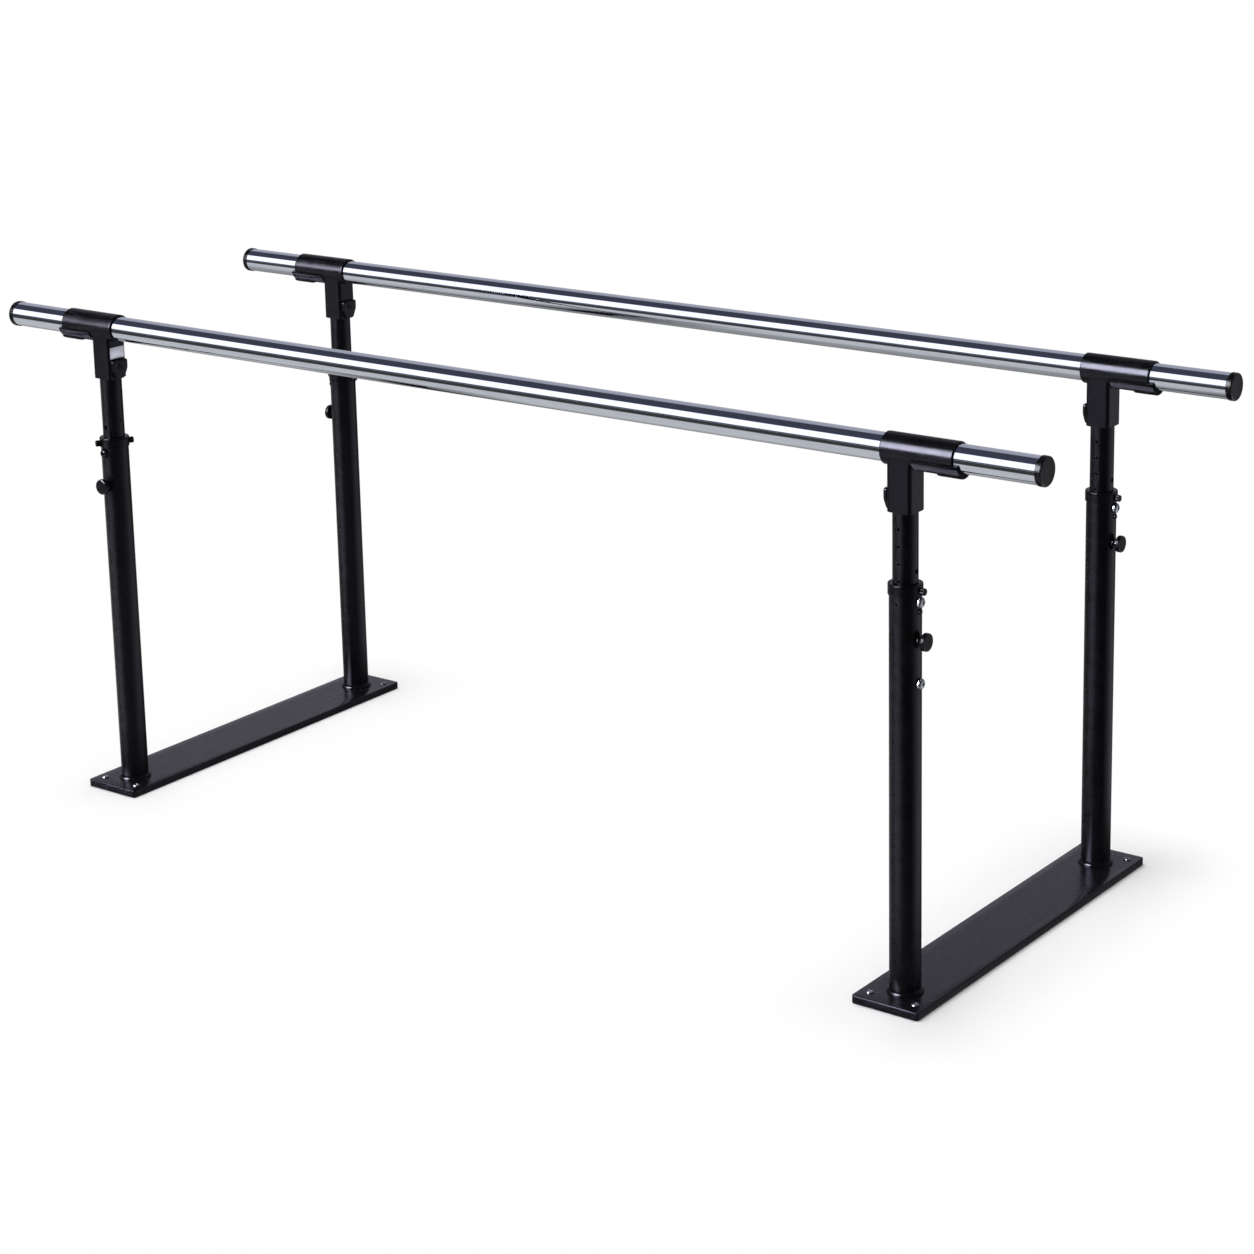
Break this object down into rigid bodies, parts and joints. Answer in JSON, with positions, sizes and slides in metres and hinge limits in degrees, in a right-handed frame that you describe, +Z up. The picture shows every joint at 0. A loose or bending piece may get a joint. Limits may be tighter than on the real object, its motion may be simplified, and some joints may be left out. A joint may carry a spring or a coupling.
{
  "type": "rehab walking parallel bars",
  "caption": "Free-standing gait-training parallel bars: polished handrails in clamp brackets on telescopic posts with pull-pin height locks, on flat floor plates.",
  "frame": {"origin": "centre of the footprint, on the floor", "axes": "+X along the rails, +Y across the walkway, +Z up"},
  "size_m": [2.092, 0.72, 0.8695],
  "materials": {
    "powder_coat": "satin black powder coat on steel",
    "bracket_black": "satin black coat on cast and pressed clamp parts",
    "rail_chrome": "polished, with fine lengthwise lines",
    "zinc_screw": "bright zinc plate",
    "bare_steel": "bare rolled steel strip",
    "knob_plastic": "satin moulded knob on a steel pin or screw",
    "cap_plastic": "smooth moulded plastic",
    "bush_plastic": "self-coloured acetal"
  },
  "bodies": {
    "stand": {"base_plate_left": "powder_coat", "floor_screw_left_1": "zinc_screw", "floor_screw_left_2": "zinc_screw", "floor_screw_left_3": "zinc_screw", "floor_screw_left_4": "zinc_screw", "base_plate_right": "powder_coat", "floor_screw_right_1": "zinc_screw", "floor_screw_right_2": "zinc_screw", "floor_screw_right_3": "zinc_screw", "floor_screw_right_4": "zinc_screw", "lower_post_near_left": "powder_coat", "post_collar_near_left": "powder_coat", "guide_bush_near_left": "bush_plastic", "post_bolt_near_left": "zinc_screw", "lower_post_near_right": "powder_coat", "post_collar_near_right": "powder_coat", "guide_bush_near_right": "bush_plastic", "post_bolt_near_right": "zinc_screw", "lower_post_far_left": "powder_coat", "post_collar_far_left": "powder_coat", "guide_bush_far_left": "bush_plastic", "post_bolt_far_left": "zinc_screw", "lower_post_far_right": "powder_coat", "post_collar_far_right": "powder_coat", "guide_bush_far_right": "bush_plastic", "post_bolt_far_right": "zinc_screw", "lower_bolt_near_right": "zinc_screw"},
    "near_rail": {"handrail_near": "rail_chrome", "end_cap_near_left": "cap_plastic", "rail_bracket_near_left": "bracket_black", "clamp_jaw_near_left": "bracket_black", "clamp_lug_near_left": "bracket_black", "inner_post_near_left": "powder_coat", "end_cap_near_right": "cap_plastic", "rail_bracket_near_right": "bracket_black", "clamp_jaw_near_right": "bracket_black", "clamp_lug_near_right": "bracket_black", "inner_post_near_right": "powder_coat", "socket_shim_near_left": "bare_steel"},
    "far_rail": {"handrail_far": "rail_chrome", "end_cap_far_left": "cap_plastic", "rail_bracket_far_left": "bracket_black", "clamp_jaw_far_left": "bracket_black", "clamp_lug_far_left": "bracket_black", "inner_post_far_left": "powder_coat", "end_cap_far_right": "cap_plastic", "rail_bracket_far_right": "bracket_black", "clamp_jaw_far_right": "bracket_black", "clamp_lug_far_right": "bracket_black", "inner_post_far_right": "powder_coat"},
    "pin_near_left": {"lock_pin_near_left": "knob_plastic"},
    "collar_screw_outer_near_left_body": {"collar_screw_outer_near_left": "knob_plastic"},
    "collar_screw_inner_near_left_body": {"collar_screw_inner_near_left": "knob_plastic"},
    "pin_near_right": {"lock_pin_near_right": "knob_plastic"},
    "collar_screw_outer_near_right_body": {"collar_screw_outer_near_right": "knob_plastic"},
    "pin_far_left": {"lock_pin_far_left": "knob_plastic"},
    "collar_screw_outer_far_left_body": {"collar_screw_outer_far_left": "knob_plastic"},
    "collar_screw_inner_far_left_body": {"collar_screw_inner_far_left": "knob_plastic"},
    "pin_far_right": {"lock_pin_far_right": "knob_plastic"},
    "collar_screw_outer_far_right_body": {"collar_screw_outer_far_right": "knob_plastic"}
  },
  "joints": [
    {"name": "near_rail_height", "type": "slide", "parent": "stand", "child": "near_rail", "axis": [0, 0, 1], "range_m": [-0.104, 0.156]},
    {"name": "far_rail_height", "type": "slide", "parent": "stand", "child": "far_rail", "axis": [0, 0, 1], "range_m": [-0.104, 0.156]},
    {"name": "pin_near_left_pull", "type": "slide", "parent": "stand", "child": "pin_near_left", "axis": [0, -1, 0], "range_m": [-0.004, 0.003], "stiffness_N_per_m": 600},
    {"name": "collar_screw_outer_near_left_turn", "type": "hinge", "parent": "stand", "child": "collar_screw_outer_near_left_body", "pos_m": [-0.83, -0.326, 0.638], "axis": [-0.5, -0.866, 0], "range_deg": [-180, 180]},
    {"name": "collar_screw_inner_near_left_turn", "type": "hinge", "parent": "stand", "child": "collar_screw_inner_near_left_body", "pos_m": [-0.8, -0.274, 0.638], "axis": [0.5, 0.866, 0], "range_deg": [-180, 180]},
    {"name": "pin_near_right_pull", "type": "slide", "parent": "stand", "child": "pin_near_right", "axis": [1, 0, 0], "range_m": [-0.004, 0.003], "stiffness_N_per_m": 600},
    {"name": "collar_screw_outer_near_right_turn", "type": "hinge", "parent": "stand", "child": "collar_screw_outer_near_right_body", "pos_m": [0.845, -0.3, 0.638], "axis": [1, 0, 0], "range_deg": [-180, 180]},
    {"name": "pin_far_left_pull", "type": "slide", "parent": "stand", "child": "pin_far_left", "axis": [-1, 0, 0], "range_m": [-0.004, 0.003], "stiffness_N_per_m": 600},
    {"name": "collar_screw_outer_far_left_turn", "type": "hinge", "parent": "stand", "child": "collar_screw_outer_far_left_body", "pos_m": [-0.845, 0.3, 0.638], "axis": [-1, 0, 0], "range_deg": [-180, 180]},
    {"name": "collar_screw_inner_far_left_turn", "type": "hinge", "parent": "stand", "child": "collar_screw_inner_far_left_body", "pos_m": [-0.785, 0.3, 0.638], "axis": [1, 0, 0], "range_deg": [-180, 180]},
    {"name": "pin_far_right_pull", "type": "slide", "parent": "stand", "child": "pin_far_right", "axis": [1, 0, 0], "range_m": [-0.004, 0.003], "stiffness_N_per_m": 600},
    {"name": "collar_screw_outer_far_right_turn", "type": "hinge", "parent": "stand", "child": "collar_screw_outer_far_right_body", "pos_m": [0.845, 0.3, 0.638], "axis": [1, 0, 0], "range_deg": [-180, 180]}
  ]
}
